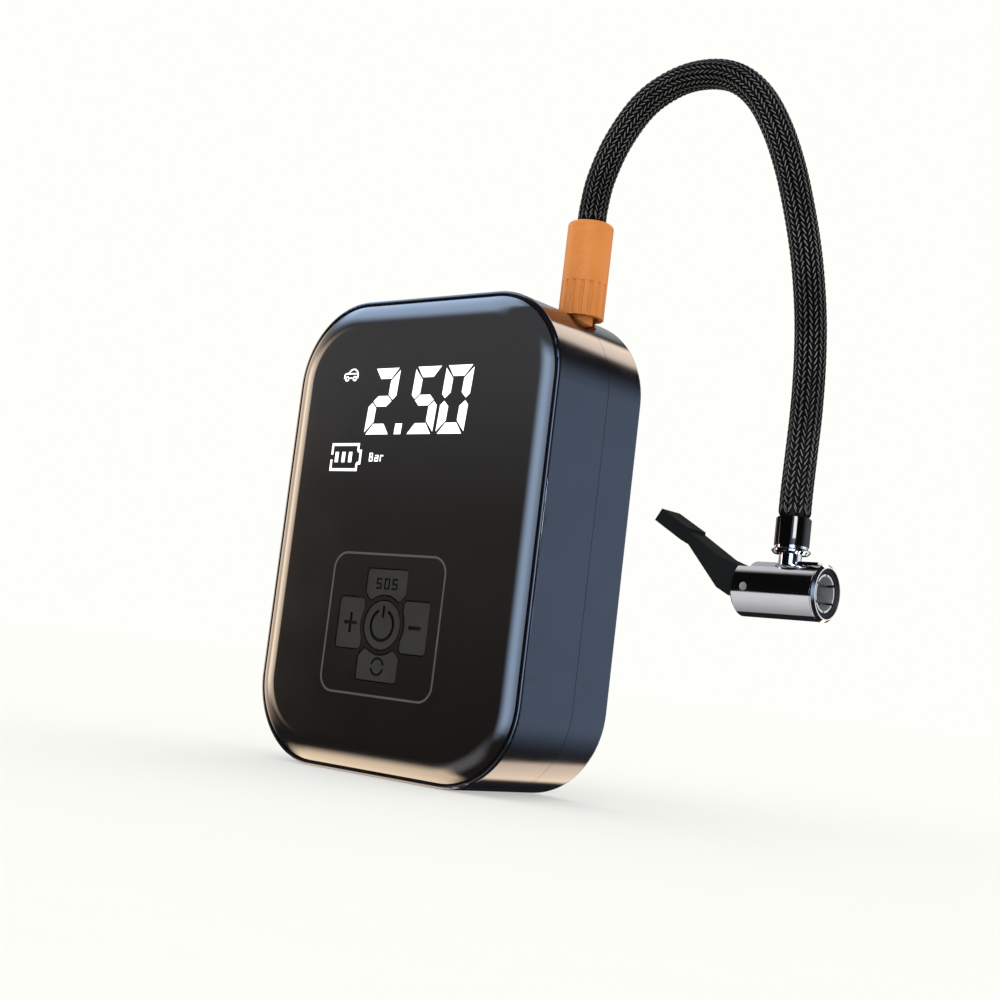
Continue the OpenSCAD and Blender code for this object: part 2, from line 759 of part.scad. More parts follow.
module cylinder_head() color(alu_color) difference() {
    union() {
        translate([outlet_x, drive_y, head_z]) cylinder(r = 10.4, h = 9);
        translate([outlet_x, outlet_y, head_z + 8]) cylinder(r = 4, h = 4);
    }
    translate([outlet_x, outlet_y, head_z - 1]) cylinder(r = 1.4, h = 20);
    translate([outlet_x, drive_y, head_z - 1]) cylinder(r = 4.6, h = 2.6);
    for (a = [30, 150, 270])
        translate([outlet_x + 8 * cos(a), drive_y + 8 * sin(a) - 0.6, head_z + 4])
            cylinder(r = 0.95, h = 6);
}

module head_screws() for (a = [30, 150, 270])
    translate([outlet_x + 8 * cos(a), drive_y + 8 * sin(a) - 0.6, head_z + 4]) {
        cylinder(r = 0.95, h = 5.2);
        translate([0, 0, 5]) cylinder(r = 1.7, h = 1.3);
    }

// cover, board and cylinder head screws
module screws() color(steel_color) {
    rear_screws();
    board_screws();
    head_screws();
}

module pressure_sensor() color(black_color) {
    translate([outlet_x - 22, drive_y - 3, head_z + 1]) cube([8, 6, 6]);
    rod_x(drive_y, head_z + 4, 1.4, outlet_x - 14.2, outlet_x - 10.45);
}

module air_tube() color(brass_color)
    tube_z(outlet_x, outlet_y, head_z + 12, 2.4, 1.4, collar_z - 18 - head_z - 12);

// stepped spigot that the collar turns on
module outlet_nipple() color(orange_color)
    translate([outlet_x, outlet_y, collar_z]) difference() {
        union() {
            translate([0, 0, -18]) cylinder(r = nipple_r, h = 30);
            translate([0, 0, -13]) cylinder(r = 6, h = 3, $fn = 6);
        }
        translate([0, 0, -19]) cylinder(r = 1.4, h = 32);
        translate([0, 0, 7.2]) tube_z(0, 0, 0, nipple_r + 1, nipple_r - 0.7, 1.2);
    }

module outlet_oring() color(black_color)
    translate([outlet_x, outlet_y, collar_z + 7.8])
        rotate_extrude() translate([nipple_r - 0.32, 0]) circle(0.36, $fn = 32);

// ---- hose ----

// fluted below, rounded at the shoulder, open underneath
module hose_collar() color(orange_color)
    translate([outlet_x, outlet_y, collar_z]) difference() {
        rotate_extrude() difference() {
            union() {
                square([collar_radius, collar_height - 1]);
                square([collar_radius - 1, collar_height]);
                translate([collar_radius - 1, collar_height - 1]) quarter(1);
            }
            translate([-1, -1]) square([1 + nipple_r + 0.08, 14.4]);
            translate([-1, -1]) square([1 + collar_radius - 1.3, 2.4]);
            translate([-1, 13]) square([2.6, collar_height]);
        }
        for (i = [0 : 15]) rotate(22.5 * i + 11)
            translate([collar_radius + 0.28, 0, -1]) cylinder(r = 0.62, h = 10.4, $fn = 24);
    }

module hose_insert() color(brass_color)
    tube_z(outlet_x, outlet_y, collar_z + 14, 1.6, 1, collar_height - 14);

// point on a smooth curve through four knots
function curve(a, b, c, d, t) =
    0.5 * ((2 * b) + (c - a) * t + (2 * a - 5 * b + 4 * c - d) * t * t
           + (3 * b - a - 3 * c + d) * t * t * t);

function knot(i) = i < 0 ? 2 * hose_route[0] - hose_route[1] :
    i > len(hose_route) - 1 ? 2 * hose_route[i - 1] - hose_route[i - 2] : hose_route[i];

function hose_line() = concat(
    [for (i = [0 : len(hose_route) - 2], t = [0, 0.5])
        curve(knot(i - 1), knot(i), knot(i + 1), knot(i + 2), t)],
    [hose_route[len(hose_route) - 1]]);

function unit(v) = v / norm(v);

// tube of n sides along a curve in the plane y = outlet_y
module swept_tube(line, r, n) {
    last = len(line) - 1;
    dirs = [for (i = [0 : last])
        i == 0 ? [0, 1] : i == last ? [0, -1] : unit(line[i + 1] - line[i - 1])];
    points = [for (i = [0 : last], k = [0 : n - 1])
        let (c = r * cos(360 / n * k), s = r * sin(360 / n * k))
            [outlet_x + line[i].x + c * dirs[i].y, outlet_y + s,
             line[i].y - c * dirs[i].x]];
    walls = [for (i = [0 : last - 1], k = [0 : n - 1]) let (j = (k + 1) % n)
        each [[i * n + k, (i + 1) * n + k, i * n + j],
              [i * n + j, (i + 1) * n + k, (i + 1) * n + j]]];
    polyhedron(points, concat(walls, [[for (k = [0 : n - 1]) k]],
        [[for (k = [n - 1 : -1 : 0]) last * n + k]]));
}

module hose_tube() color(black_color) swept_tube(hose_line(), hose_diameter / 2, 12);

module hose_ferrule() color(black_color)
    translate([neck_x, chuck_y, ferrule_z]) rotate_extrude() {
        square([hose_diameter / 2 + 0.25, hose_end_z - ferrule_z - 0.3]);
        square([hose_diameter / 2 - 0.05, hose_end_z - ferrule_z]);
    }

module ferrule_ring() color(chrome_color)
    translate([neck_x, chuck_y, ring_z]) rotate_extrude()
        polygon([[0, 0], [4, 0], [4.6, 0.6], [4.6, 1], [3.9, 1.4], [3.9, 2], [0, 2]]);

module chuck_neck() color(chrome_color) difference() {
    translate([neck_x, chuck_y, chuck_z + chuck_radius - 1.2]) cylinder(r = 2.7, h = 3.2);
    rod_x(chuck_y, chuck_z, chuck_radius, chuck_back, chuck_front);
}

// ---- chuck ----

module chuck_body() color(chrome_color) difference() {
    union() {
        rod_x(chuck_y, chuck_z, chuck_radius, chuck_back + 0.6, chuck_front - 1.2);
        translate([chuck_back, chuck_y, chuck_z]) rotate([0, 90, 0])
            cylinder(r1 = chuck_radius - 0.6, r2 = chuck_radius, h = 0.6);
    }
    // slot for the lever, open at the back and top
    translate([chuck_back - 1, chuck_y - lever_width / 2 - 0.35, chuck_z - 4.9])
        cube([pivot_x - chuck_back + 1, lever_width + 0.7, 20]);
    translate([pivot_x, chuck_y - lever_width / 2 - 0.35, chuck_z])
        rotate([-90, 0, 0]) cylinder(r = 3.9, h = lever_width + 0.7);
    rod_y(pivot_x, chuck_z, 1, chuck_y - 10, chuck_y + 10);
    rod_x(chuck_y, chuck_z, jaw_outer + 0.08, bore_x, chuck_front + 1);
    rod_x(chuck_y, chuck_z, 5.9, chuck_front - 2.6, chuck_front + 1);
    rod_x(chuck_y, chuck_z, 0.8, slot_end - 2, bore_x + 1);
    translate([neck_x, chuck_y, chuck_z]) cylinder(r = 1.2, h = 10);
}

module chuck_nose_ring() color(chrome_color)
    translate([chuck_front - 1.2, chuck_y, chuck_z]) rotate([0, 90, 0]) rotate_extrude()
        polygon([[5.9, 0], [chuck_radius, 0], [chuck_radius + 0.15, 0.2],
                 [chuck_radius + 0.15, 0.5], [chuck_radius - 0.45, 1.2], [5.9, 1.2]]);

module chuck_seal() color(black_color) difference() {
    rod_x(chuck_y, chuck_z, 5.9, chuck_front - 2.6, chuck_front - 0.5);
    rod_x(chuck_y, chuck_z, jaw_outer + 0.3, chuck_front - 3, chuck_front);
}

// raised stop on top, between the neck and the mouth
module chuck_tab() color(chrome_color) difference() {
    translate([neck_x + 3.1, chuck_y - 1.6, chuck_z + chuck_radius - 0.9])
        cube([5.2, 3.2, 1.3]);
    translate([neck_x + 3.8, chuck_y - 0.9, chuck_z + chuck_radius])
        cube([3.8, 1.8, 1]);
    rod_x(chuck_y, chuck_z, chuck_radius, chuck_back, chuck_front);
}

module depressor_pin() color(brass_color)
    rod_x(chuck_y, chuck_z, 0.8, slot_end + 0.3, chuck_front - 9.1);

module lever_pin() color(steel_color)
    rod_y(pivot_x, chuck_z, 1, chuck_y - 6.2, chuck_y + 6.2);

// side view of the lever about its pivot, in x and z
module lever_flat() translate([pivot_x, chuck_z]) {
    difference() {
        union() {
            circle(3.4);
            polygon([[0, 3.38], [-3.4, 5.2], [-8.9, 7.1], [-18.7, 13], [-18.7, 13.7],
                     [-27, 18.3], [-28.8, 15.4], [-20.6, 10.7], [-18.2, 9.6],
                     [-9, -0.4], [-5.6, -2.1], [0, -3.38]]);
        }
        circle(1.06);
    }
}

module lever() color(black_color) difference() {
    upright(chuck_y - lever_width / 2, chuck_y + lever_width / 2) lever_flat();
    upright(chuck_y - lever_width / 2 + 1, chuck_y + lever_width / 2 - 1)
        translate([pivot_x, chuck_z]) grip_flat();
}

module grip_flat()
    polygon([[-20, 14.42], [-26, 17.75], [-26.25, 17.3], [-20.25, 13.97]]);

module lever_grip() color([0.1, 0.1, 0.11])
    upright(chuck_y - lever_width / 2 + 1, chuck_y + lever_width / 2 - 1)
        translate([pivot_x, chuck_z]) grip_flat();

// collet of six fingers that grips the valve stem
module jaw_sleeve() color(brass_color) difference() {
    rod_x(chuck_y, chuck_z, jaw_outer, bore_x + 2.4, chuck_front - 0.7);
    rod_x(chuck_y, chuck_z, jaw_bore, chuck_front - 9, chuck_front);
    rod_x(chuck_y, chuck_z, 2.6, bore_x + 2, chuck_front);
    for (a = [0 : 60 : 300])
        translate([0, chuck_y, chuck_z]) rotate([a, 0, 0])
            translate([chuck_front - 6.5, -0.35, 0]) cube([8, 0.7, 6]);
}

module jaw_spring() color(steel_color) for (i = [0 : 2])
    translate([bore_x + 0.35 + 0.85 * i, chuck_y, chuck_z]) rotate([0, 90, 0])
        rotate_extrude() translate([3.6, 0]) circle(0.3, $fn = 24);

main_housing();
rear_cover();
screws();
front_gasket();
front_plate();
display_digits();
display_icons();
panel_outline();
display_module();
front_board();
key_switches();
key_power();
key_plus();
key_minus();
key_sos();
key_mode();
lamp_lens();
lamp_reflector();
lamp_led();
usb_socket();
usb_board();
battery_cells();
battery_holder();
battery_tabs();
control_board();
board_parts();
chassis();
crank_bearing();
motor_can();
motor_endcap();
motor_terminals();
rotor_shaft();
pinion();
crank_gear();
crank_pins();
piston();
piston_seal();
connecting_rod();
pump_cylinder();
cylinder_head();
pressure_sensor();
air_tube();
outlet_nipple();
outlet_oring();
hose_collar();
hose_insert();
hose_tube();
hose_ferrule();
ferrule_ring();
chuck_neck();
chuck_body();
chuck_nose_ring();
chuck_seal();
chuck_tab();
depressor_pin();
lever_pin();
lever();
lever_grip();
jaw_sleeve();
jaw_spring();
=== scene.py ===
"""Portable tyre inflator: the looks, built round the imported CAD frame. Metres."""
import json
import math
import bpy
from mathutils import Matrix, Vector

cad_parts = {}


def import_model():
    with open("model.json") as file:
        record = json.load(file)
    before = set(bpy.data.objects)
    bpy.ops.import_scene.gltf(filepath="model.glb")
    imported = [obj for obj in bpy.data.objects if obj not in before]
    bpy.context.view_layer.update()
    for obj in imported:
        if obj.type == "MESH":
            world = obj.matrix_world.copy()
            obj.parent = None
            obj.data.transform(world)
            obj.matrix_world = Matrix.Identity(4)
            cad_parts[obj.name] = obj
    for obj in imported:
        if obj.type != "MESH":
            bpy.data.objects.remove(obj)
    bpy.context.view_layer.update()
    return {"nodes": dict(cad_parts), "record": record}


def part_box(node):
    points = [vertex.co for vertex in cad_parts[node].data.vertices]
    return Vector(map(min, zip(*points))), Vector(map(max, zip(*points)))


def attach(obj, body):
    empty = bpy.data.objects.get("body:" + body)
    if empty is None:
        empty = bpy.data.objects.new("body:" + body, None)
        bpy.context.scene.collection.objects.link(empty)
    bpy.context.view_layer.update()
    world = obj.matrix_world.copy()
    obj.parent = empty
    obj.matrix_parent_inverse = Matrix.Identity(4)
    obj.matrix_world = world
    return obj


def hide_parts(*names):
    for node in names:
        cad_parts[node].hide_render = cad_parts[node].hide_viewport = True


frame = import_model()
nodes = frame["nodes"]
MM = 0.001

# ---- camera -------------------------------------------------------------

LENS_MM = 56.617
SENSOR_MM = 36.0
# where the camera stands, and which way its right and up point
CAM_AT = Vector((0.29156, -0.31998, 0.02986))
CAM_RIGHT = Vector((0.76404, 0.63419, 0.11850))
CAM_UP = Vector((-0.01908, -0.16138, 0.98671))

camera_data = bpy.data.cameras.new("camera")
camera_data.lens = LENS_MM
camera_data.sensor_width = SENSOR_MM
camera_data.clip_start = 0.01
camera = bpy.data.objects.new("camera", camera_data)
bpy.context.collection.objects.link(camera)
turn = Matrix((CAM_RIGHT, CAM_UP, CAM_RIGHT.cross(CAM_UP))).transposed().to_4x4()
camera.matrix_world = Matrix.Translation(CAM_AT) @ turn
bpy.context.scene.camera = camera
bpy.context.scene.view_settings.view_transform = "Standard"

# ---- node helpers -------------------------------------------------------


class Nodes:
    """Short calls that add and join shader nodes in one tree."""

    def __init__(self, tree):
        self.tree = tree
        tree.nodes.clear()

    def put(self, socket, value):
        if isinstance(value, bpy.types.NodeSocket):
            self.tree.links.new(value, socket)
        else:
            socket.default_value = value

    def new(self, kind, out=0, inputs=(), **props):
        n = self.tree.nodes.new(kind)
        for k, v in props.items():
            setattr(n, k, v)
        for k, v in dict(inputs).items():
            self.put(n.inputs[k], v)
        return n.outputs[out] if n.outputs else None

    def math(self, op, a, b=0.0):
        return self.new("ShaderNodeMath", inputs={0: a, 1: b}, operation=op)

    def mix(self, factor, a, b):
        n = self.tree.nodes.new("ShaderNodeMix")
        n.data_type = "RGBA"
        for i, v in ((0, factor), (6, a), (7, b)):
            self.put(n.inputs[i], v)
        return n.outputs[2]

    def step(self, value, low, high, to_low=0.0, to_high=1.0):
        return self.new("ShaderNodeMapRange",
                        inputs={0: value, 1: low, 2: high, 3: to_low, 4: to_high},
                        interpolation_type="SMOOTHSTEP")

    def place(self):
        return self.new("ShaderNodeTexCoord", "Object")

    def axis(self, letter):
        return self.new("ShaderNodeSeparateXYZ", letter, inputs={0: self.place()})

    def split(self, vector):
        n = self.tree.nodes.new("ShaderNodeSeparateXYZ")
        self.put(n.inputs[0], vector)
        return n.outputs

    def noise(self, scale, detail=3.0, rough=0.5):
        return self.new("ShaderNodeTexNoise", inputs={
            "Vector": self.place(), "Scale": scale, "Detail": detail, "Roughness": rough})

    def bump(self, height, strength, distance):
        return self.new("ShaderNodeBump", inputs={
            "Height": height, "Strength": strength, "Distance": distance})


def rgb(r, g, b):
    """Display colour, 0 to 255, as a linear one."""
    return tuple(((c / 255 + 0.055) / 1.055) ** 2.4 if c > 10 else c / 255 / 12.92
                 for c in (r, g, b)) + (1.0,)


BROAD_MOTTLE = 60.0     # waves a metre of the slow change in colour and gloss


def finish_material(name, base, rough=0.4, metal=0.0, spread=0.12, grain=900.0,
                    rough_spread=0.08, bump=0.15, depth=2e-5, extra=None, **fixed):
    """Principled finish with a mottled colour, uneven gloss and a fine surface grain.

    With no base, extra sets the colour. Other sockets are set by name, through fixed.
    """
    m = bpy.data.materials.new(name)
    m.use_nodes = True
    t = Nodes(m.node_tree)
    broad = t.noise(BROAD_MOTTLE, 4.0)
    fine = t.noise(grain, 3.0, 0.6)
    colour = None
    if base:
        darker = tuple(c * (1 - spread) for c in base[:3]) + (1.0,)
        lighter = tuple(min(c * (1 + spread), 1) for c in base[:3]) + (1.0,)
        mottle = t.math("ADD", t.math("MULTIPLY", broad, 0.6), t.math("MULTIPLY", fine, 0.4))
        colour = t.mix(t.step(mottle, 0.35, 0.65), darker, lighter)
    roughness = t.step(broad, 0.3, 0.7, max(rough - rough_spread, 0.01), rough + rough_spread)
    inputs = {"Base Color": colour, "Roughness": roughness, "Metallic": metal,
              "Normal": t.bump(fine, bump, depth)}
    inputs.update({k.replace("_", " "): v for k, v in fixed.items()})
    if extra:
        extra(t, inputs)
    shader = t.new("ShaderNodeBsdfPrincipled", inputs=inputs)
    t.new("ShaderNodeOutputMaterial", inputs={"Surface": shader})
    return m


# ---- finishes -----------------------------------------------------------

FOOT, WAIST, BROW = 10 * MM, 60 * MM, 118 * MM      # heights on the front plate where its painted reflection changes


def painted_reflection_fade(t, inputs):
    """Painted reflection on the front plate: grey-black at the top, warmer and darker lower
    down.
    """
    z = t.axis("Z")
    # painted reflection: warm near-black at the foot, a little lighter towards the waist
    low = t.mix(t.step(z, FOOT, WAIST), rgb(25, 21, 19), rgb(36, 33, 31))
    # painted reflection: grey-black from the waist up to the brow
    painted_reflection_tone = t.mix(t.step(z, WAIST, BROW), low, rgb(57, 57, 59))
    dust = t.step(t.noise(2600.0, 2.0), 0.66, 0.74)
    inputs["Base Color"] = t.mix(t.math("MULTIPLY", dust, 0.12), painted_reflection_tone, rgb(70, 68, 66))


def key_ink(t, inputs):
    """Dark ink in the sunk marks of a key."""
    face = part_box("key_power")[0][1]
    sunk = t.step(t.axis("Y"), face + 0.06 * MM, face + 0.14 * MM)
    inputs["Base Color"] = t.mix(sunk, inputs["Base Color"], rgb(9, 9, 9))


def socket_tongue(t, inputs):
    """Black tongue in the charging socket, green board behind it."""
    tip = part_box("usb_board")[0][0]
    board = t.step(t.axis("X"), tip + 1.2 * MM, tip + 1.5 * MM)
    inputs["Base Color"] = t.mix(board, rgb(18, 18, 19), inputs["Base Color"])


RING_PITCH = 0.9 * MM


def lens_rings(t, inputs):
    """Fine moulded rings round the middle of the lamp lens."""
    low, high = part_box("lamp_lens")
    middle = ((low[0] + high[0]) / 2, (low[1] + high[1]) / 2, high[2])
    away = t.new("ShaderNodeVectorMath", inputs={0: t.place(), 1: middle},
                 operation="SUBTRACT")
    reach = t.new("ShaderNodeVectorMath", "Value", inputs={0: away}, operation="LENGTH")
    wave = t.math("SINE", t.math("MULTIPLY", reach, 2 * math.pi / RING_PITCH))
    inputs["Normal"] = t.bump(wave, 0.6, 1e-4)
    ring = t.step(wave, -0.8, 0.8)
    inputs["Base Color"] = t.mix(ring, rgb(196, 202, 208), inputs["Base Color"])


def lit(t, inputs):
    """Back light that is a touch weaker towards some corners."""
    level = t.step(t.noise(140.0, 2.0), 0.2, 0.8, 0.93, 1.0)
    inputs["Emission Color"] = t.mix(level, rgb(205, 212, 220), rgb(255, 255, 255))


finishes = {
    "shell": dict(base=rgb(92, 94, 103), rough=0.12, metal=0.95, spread=0.05, grain=2200.0,
                  rough_spread=0.02, bump=0.03, Coat_Weight=0.3, Coat_Roughness=0.08),
    # the front plate's colour carries a painted reflection, grey-black high up and darker
    # lower down
    "front_gloss": dict(base=None, rough=0.1, rough_spread=0.015, bump=0.0,
                        IOR=1.9, Coat_Weight=1.0, Coat_Roughness=0.05,
                        extra=painted_reflection_fade),
    "display_light": dict(base=rgb(235, 238, 240), rough=0.5, Emission_Strength=1.05,
                          extra=lit),
    "panel_line": dict(base=rgb(72, 74, 73), rough=0.45),
    "key_grey": dict(base=rgb(50, 50, 50), rough=0.5, grain=3200.0, bump=0.3,
                     Specular_IOR_Level=0.1, extra=key_ink),
    "gasket_rubber": dict(base=rgb(18, 18, 19), rough=0.7, bump=0.4),
    "module_black": dict(base=rgb(26, 26, 28), rough=0.55, bump=0.4),
    "circuit_board": dict(base=rgb(24, 78, 46), rough=0.35, spread=0.25, grain=500.0),
    "socket_board": dict(base=rgb(24, 78, 46), rough=0.35, spread=0.25, grain=500.0,
                         extra=socket_tongue),
    "screw_steel": dict(base=rgb(120, 120, 124), rough=0.32, metal=1.0),
    "switch_metal": dict(base=rgb(175, 175, 178), rough=0.3, metal=1.0),
    "lamp_clear": dict(base=rgb(232, 236, 240), rough=0.25, grain=1500.0,
                       Transmission_Weight=0.7, IOR=1.5, extra=lens_rings),
    "led_yellow": dict(base=rgb(240, 205, 80), rough=0.4),
    "socket_steel": dict(base=rgb(200, 201, 203), rough=0.24, metal=0.72),
    "cell_wrap": dict(base=rgb(28, 84, 150), rough=0.3, spread=0.1),
    "nickel": dict(base=rgb(200, 196, 186), rough=0.28, metal=1.0),
    "bracket_steel": dict(base=rgb(170, 174, 180), rough=0.35, metal=1.0, grain=300.0),
    "motor_steel": dict(base=rgb(180, 182, 184), rough=0.3, metal=1.0),
    "gear_steel": dict(base=rgb(150, 151, 154), rough=0.35, metal=1.0),
    "pump_aluminium": dict(base=rgb(198, 200, 204), rough=0.42, metal=1.0, bump=0.5),
    "brass": dict(base=rgb(205, 165, 90), rough=0.25, metal=1.0),
    "chrome_trim": dict(base=rgb(222, 222, 226), rough=0.07, metal=1.0, spread=0.03,
                        rough_spread=0.03, bump=0.02),
    "collar_orange": dict(base=rgb(224, 136, 56), rough=0.42, spread=0.08, grain=1400.0,
                          bump=0.12),
    "hose_braid": dict(base=rgb(18, 18, 18), rough=0.4, spread=0.2, grain=4000.0,
                       Specular_IOR_Level=0.1),
    "ferrule_black": dict(base=rgb(8, 8, 9), rough=0.07, rough_spread=0.02, bump=0.03,
                          Specular_IOR_Level=0.35),
    "lever_black": dict(base=rgb(27, 30, 31), rough=0.5, grain=1800.0, bump=0.3,
                        Specular_IOR_Level=0.01),
}
materials = {k: finish_material(k, **v) for k, v in finishes.items()}
slots = {s["node"]: s["material_slot"] for s in frame["record"]["subparts"]}
for name, obj in nodes.items():
    obj.data.materials.clear()
    obj.data.materials.append(materials[slots[name]])
nodes["usb_board"].data.materials[0] = materials["socket_board"]

# ---- hose ---------------------------------------------------------------

OUTLET = Vector((34.2, 6.0, 153.7)) * MM
ROUTE = [(0, 0), (0.2, 5), (1.6, 13), (6, 23), (13.5, 32), (23, 36.6), (32.5, 37.4),
         (41.5, 35), (49, 29), (55, 20), (60, 9), (64, -3), (67.2, -15), (69.6, -28),
         (70.8, -40), (71.2, -52), (71, -63), (70.8, -72), (70.8, -78.45)]
HOSE_D = 7.8 * MM
CORE_R = 3.35 * MM
TOP_R = HOSE_D / 2
COLUMNS = 18
LEAN = math.radians(25)
STRAND_PITCH = 1.6 * MM     # along the hose, before it is fitted to the length
STRAND_FILL = 0.55          # half width of a strand, as a share of its spacing
END_WIDTH = 0.55            # width at a strand's ends, as a share of the middle's
END_TAPER = 2.6             # higher keeps a strand full nearer to its ends
END_RISE = 0.12             # height at a strand's ends, as a share of the middle's
EDGE_DROP = 0.86            # 1 would bring a strand's edges down to its root
SUNK = 0.1 * MM             # how far a strand's root lies inside the core
# material indexes; GLINT is a pale painted highlight on each strand's crown
CORE, STRAND, GLINT = 0, 1, 2


def spline(points, per_span=16):
    """Smooth line through points, as many short chords."""
    ends = [2 * points[0] - points[1]] + points + [2 * points[-1] - points[-2]]
    line = []
    for a, b, c, d in zip(ends, ends[1:], ends[2:], ends[3:]):
        for k in range(per_span):
            t = k / per_span
            line.append(0.5 * (2 * b + (c - a) * t + (2 * a - 5 * b + 4 * c - d) * t * t
                               + (3 * b - a - 3 * c + d) * t ** 3))
    return line + [points[-1]]


def mesh_object(name, verts, faces, indices, mats, body):
    """Smooth mesh with a material for each face, riding on a CAD body."""
    data = bpy.data.meshes.new(name)
    data.from_pydata([tuple(v) for v in verts], [], faces)
    for m in mats:
        data.materials.append(m)
    data.polygons.foreach_set("use_smooth", [True] * len(data.polygons))
    data.polygons.foreach_set("material_index", indices)
    data.update()
    obj = bpy.data.objects.new(name, data)
    bpy.context.collection.objects.link(obj)
    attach(obj, body)
    return obj


hose_line = spline([OUTLET + Vector((x, 0, z)) * MM for x, z in ROUTE])
hose_marks = [0.0]
for p, q in zip(hose_line, hose_line[1:]):
    hose_marks.append(hose_marks[-1] + (q - p).length)
hose_length = hose_marks[-1]


def along_hose(s):
    """Point, direction and in-plane normal at distance s along the hose."""
    s = min(max(s, 0.0), hose_length)
    k = 1
    while hose_marks[k] < s and k < len(hose_marks) - 1:
        k += 1
    span = hose_marks[k] - hose_marks[k - 1]
    f = (s - hose_marks[k - 1]) / span
    point = hose_line[k - 1].lerp(hose_line[k], f)
    before = hose_line[max(k - 2, 0)]
    after = hose_line[min(k + 1, len(hose_line) - 1)]
    d = (after - before).normalized()
    return point, d, Vector((d.z, 0, -d.x))


def on_hose(s, angle, radius):
    point, _, out = along_hose(s)
    return point + radius * (math.cos(angle) * out + math.sin(angle) * Vector((0, 1, 0)))


def core_tube(verts, faces, indices):
    """Closed dark tube that the strands stand on."""
    rings, around = 220, 36
    for i in range(rings + 1):
        for k in range(around):
            verts.append(on_hose(hose_length * i / rings, 2 * math.pi * k / around, CORE_R))
    for i in range(rings):
        for k in range(around):
            a = i * around + k
            b = i * around + (k + 1) % around
            faces.append((a, a + around, b + around, b))
    for end in (0, rings):
        ring = [end * around + k for k in range(around)]
        faces.append(tuple(ring if end else reversed(ring)))
    indices += [CORE] * len(faces)


def strand(verts, faces, indices, middle, angle, side, half, wide):
    """One raised strand that leans to one side and sinks into the core at both ends."""
    n_along, n_across = 8, 6
    base = len(verts)
    for a in range(n_along + 1):
        u = -1 + 2 * a / n_along
        lift = 1 - abs(u) ** END_TAPER
        for b in range(n_across + 1):
            v = -1 + 2 * b / n_across
            across = wide * v * (END_WIDTH + (1 - END_WIDTH) * lift)
            s = middle + half * u * math.cos(LEAN) - side * across * math.sin(LEAN)
            w = side * half * u * math.sin(LEAN) + across * math.cos(LEAN)
            rise = (END_RISE + (1 - END_RISE) * lift) * math.sqrt(1 - EDGE_DROP * v * v)
            r = CORE_R - SUNK + (TOP_R - CORE_R + SUNK) * rise
            verts.append(on_hose(s, angle + w / TOP_R, r))
    for a in range(n_along):
        for b in range(n_across):
            p = base + a * (n_across + 1) + b
            faces.append((p, p + 1, p + n_across + 2, p + n_across + 1))
            # the middle faces of each strand carry a pale painted highlight
            crown = 2 <= a < n_along - 2 and 2 <= b < n_across - 2
            indices.append(GLINT if crown else STRAND)


def braided_hose():
    """Dark tube under columns of slanted strands that lean left and right in turn."""
    verts, faces, indices = [], [], []
    core_tube(verts, faces, indices)
    apart = 2 * math.pi / COLUMNS
    half = TOP_R * apart / 2 / math.sin(LEAN)
    count = round(hose_length / STRAND_PITCH)
    pitch = hose_length / count
    wide = pitch * math.sin(LEAN) * STRAND_FILL
    reach = half * math.cos(LEAN) + wide * math.sin(LEAN)
    for c in range(COLUMNS):
        side = 1 if c % 2 else -1
        offset = 0.75 if c % 2 else 0.5
        for j in range(count):
            middle = min(max(pitch * (j + offset), reach), hose_length - reach)
            strand(verts, faces, indices, middle, apart * c, side, half, wide)
    core = finish_material("hose_core", rgb(6, 6, 7), 0.8, bump=0.3, Specular_IOR_Level=0.1)
    # pale painted highlight on the strands' crowns
    glint = finish_material("hose_glint", rgb(112, 111, 110), 0.35, spread=0.45,
                            grain=700.0, Specular_IOR_Level=0.1)
    hose = mesh_object("hose_braid", verts, faces, indices,
                       [core, materials["hose_braid"], glint], "hose_set")
    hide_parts("hose_tube")
    tuple(hose_line[0])
    [tuple(p) for p in hose_line]


braided_hose()

# ---- floor and light ----------------------------------------------------

HALF_FLOOR = 12.0
floor_data = bpy.data.meshes.new("floor")
floor_corners = [(x * HALF_FLOOR, y * HALF_FLOOR, 0)
                 for x, y in ((-1, -1), (1, -1), (1, 1), (-1, 1))]
floor_data.from_pydata(floor_corners, [], [(0, 1, 2, 3)])
floor = bpy.data.objects.new("floor", floor_data)
bpy.context.collection.objects.link(floor)
floor_mat = finish_material("floor", (0.5, 0.5, 0.47, 1.0), 0.9, spread=0.004, bump=0.0,
                            Specular_IOR_Level=0.0, Emission_Strength=0.42,
                            Emission_Color=(1.0, 1.0, 0.97, 1.0))
floor_data.materials.append(floor_mat)
floor.visible_glossy = False

WARM = (1.0, 0.79, 0.60)
GOLD = (1.0, 0.77, 0.55)
PALE = (0.92, 0.92, 0.95)
COOL = (0.53, 0.71, 1.0)
SLATE = (0.62, 0.78, 1.0)
# soft boxes that only reflections see: bearing and height of the middle, half width,
# half height, soft edge both ways (degrees), colour, strength
BOXES = [
    (203, 5, 6, 6, 14, 9, WARM, 3.3),
    (175, 5, 13, 7, 24, 17, WARM, 1.2),
    (190, -49, 28, 7, 20, 17, GOLD, 3.4),
    (190, 52, 28, 12, 16, 18, COOL, 2.1),
    (302, 5, 2, 20, 26, 20, COOL, 2.9),
    (86, 42, 8, 12, 8, 12, WARM, 3.3),
    (95, -42, 11, 12, 6, 12, GOLD, 3.0),
    (50, -3, 28, 10, 22, 24, SLATE, 0.68),
    (128, 38, 16, 14, 12, 14, PALE, 0.5),
    (250, -38, 8, 3, 32, 18, PALE, 0.55),
]
GLOOM = (0.014, 0.015, 0.018)           # what reflections see between the boxes
BACKDROP = (0.992, 0.996, 0.965, 1.0)   # what the camera sees past the floor
SOFT_LIGHT = 1.15                       # even white light on every matt surface


